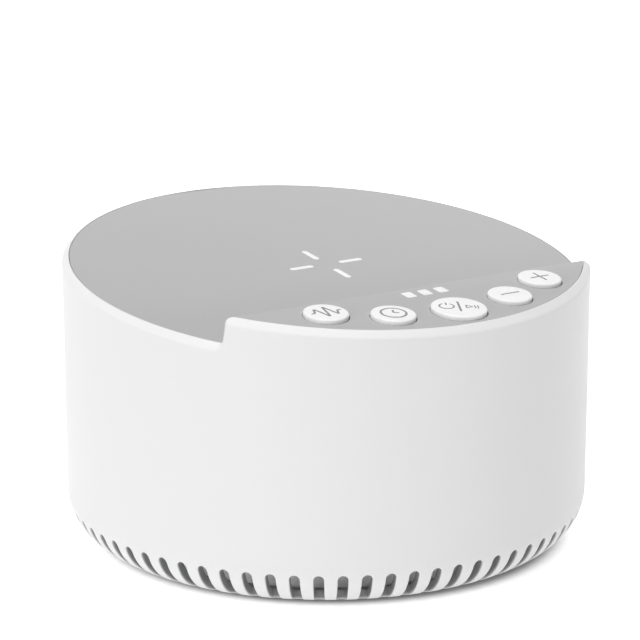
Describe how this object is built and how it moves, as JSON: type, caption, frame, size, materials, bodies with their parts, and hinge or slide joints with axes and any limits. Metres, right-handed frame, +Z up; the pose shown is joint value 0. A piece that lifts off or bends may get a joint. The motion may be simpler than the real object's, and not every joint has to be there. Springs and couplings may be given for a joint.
{
  "type": "white noise sound machine",
  "caption": "Round bedside white noise machine with push keys on a raised front ledge, a tilted wireless charging plate, a ring of sound slots and a small driver inside.",
  "frame": {"origin": "centre of the foot circle on the surface that the feet stand on, which is the bottom centre of the drum", "axes": "+Z up; the keys and their ledge face -Y, the power inlet +Y; +X is to the right seen from the keys"},
  "size_m": [0.115, 0.115, 0.0676],
  "materials": {
    "housing_white": "white ABS, very fine matt texture",
    "fascia_grey": "cool mid-grey ABS, fine matt texture",
    "cover_white": "white ABS, matt",
    "key_white": "white ABS, satin",
    "lens_white": "milky diffusing polycarbonate",
    "mark_print": "white pad print on the plate",
    "symbol_print": "grey pad print on the keys",
    "foot_rubber": "dark grey silicone rubber",
    "screw_zinc": "zinc plated",
    "screen_cloth": "pale woven polyester",
    "inner_plastic": "grey ABS",
    "board_green": "green solder mask on glass epoxy",
    "chip_black": "black moulding compound",
    "switch_black": "black nylon",
    "led_body": "pale epoxy",
    "coil_copper": "enamelled copper",
    "ferrite_grey": "dark sintered ferrite",
    "lead_clear": "insulated copper lead",
    "can_aluminium": "aluminium can",
    "jack_steel": "nickel plated steel",
    "socket_cream": "cream nylon",
    "ribbon_white": "white laminated flat cable",
    "gasket_foam": "black closed-cell foam",
    "basket_black": "black coated pressed steel",
    "motor_steel": "zinc plated steel",
    "magnet_ferrite": "sintered ferrite",
    "cone_paper": "black pressed paper",
    "surround_rubber": "black butyl rubber",
    "spider_cloth": "resin-stiffened cotton",
    "strip_board": "brown paper laminate",
    "lug_brass": "tinned brass",
    "wire_red": "red PVC insulation",
    "wire_black": "black PVC insulation"
  },
  "bodies": {
    "housing": {"outer_shell": "housing_white", "top_fascia": "fascia_grey", "base_cover": "cover_white", "rubber_feet": "foot_rubber", "base_screws": "screw_zinc", "dust_screen": "screen_cloth", "window_lens": "lens_white", "indicator_leds": "led_body", "key_board": "board_green", "key_board_screws": "screw_zinc", "tact_switches": "switch_black", "charging_coil": "coil_copper", "ferrite_sheet": "ferrite_grey", "coil_bracket": "inner_plastic", "coil_bracket_screws": "screw_zinc", "coil_lead_left": "lead_clear", "coil_lead_right": "lead_clear", "main_board": "board_green", "main_board_screws": "screw_zinc", "sound_chip": "chip_black", "amplifier_chip": "chip_black", "charging_chip": "chip_black", "power_inductor": "ferrite_grey", "filter_capacitors": "can_aluminium", "usb_jack": "jack_steel", "speaker_socket": "socket_cream", "ribbon_sockets": "socket_cream", "key_ribbon": "ribbon_white", "speaker_baffle": "inner_plastic", "speaker_gasket": "gasket_foam", "speaker_basket": "basket_black", "speaker_screws": "screw_zinc", "speaker_top_plate": "motor_steel", "speaker_magnet": "magnet_ferrite", "speaker_yoke": "motor_steel", "speaker_surround": "surround_rubber", "speaker_spider": "spider_cloth", "speaker_terminal_strip": "strip_board", "speaker_terminals": "lug_brass", "speaker_wire_red": "wire_red", "speaker_wire_black": "wire_black"},
    "mode_key": {"mode_button": "key_white", "mode_plunger": "switch_black"},
    "timer_key": {"timer_button": "key_white", "timer_plunger": "switch_black"},
    "power_key": {"power_button": "key_white", "power_plunger": "switch_black"},
    "volume_down_key": {"volume_down_button": "key_white", "volume_down_plunger": "switch_black"},
    "volume_up_key": {"volume_up_button": "key_white", "volume_up_plunger": "switch_black"},
    "cone": {"speaker_cone": "cone_paper", "speaker_dust_cap": "cone_paper", "speaker_voice_coil": "coil_copper"}
  },
  "joints": [
    {"name": "mode_press", "type": "slide", "parent": "housing", "child": "mode_key", "axis": [0, 0.1219, -0.9925], "range_m": [0, 0.0004], "stiffness_N_per_m": 5000},
    {"name": "timer_press", "type": "slide", "parent": "housing", "child": "timer_key", "axis": [0, 0.1219, -0.9925], "range_m": [0, 0.0004], "stiffness_N_per_m": 5000},
    {"name": "power_press", "type": "slide", "parent": "housing", "child": "power_key", "axis": [0, 0.1219, -0.9925], "range_m": [0, 0.0004], "stiffness_N_per_m": 5000},
    {"name": "volume_down_press", "type": "slide", "parent": "housing", "child": "volume_down_key", "axis": [0, 0.1219, -0.9925], "range_m": [0, 0.0004], "stiffness_N_per_m": 5000},
    {"name": "volume_up_press", "type": "slide", "parent": "housing", "child": "volume_up_key", "axis": [0, 0.1219, -0.9925], "range_m": [0, 0.0004], "stiffness_N_per_m": 5000},
    {"name": "cone_stroke", "type": "slide", "parent": "housing", "child": "cone", "axis": [0, 0, -1], "range_m": [-0.0006, 0.0006], "stiffness_N_per_m": 1300, "deforming": ["speaker_surround", "speaker_spider"]}
  ]
}
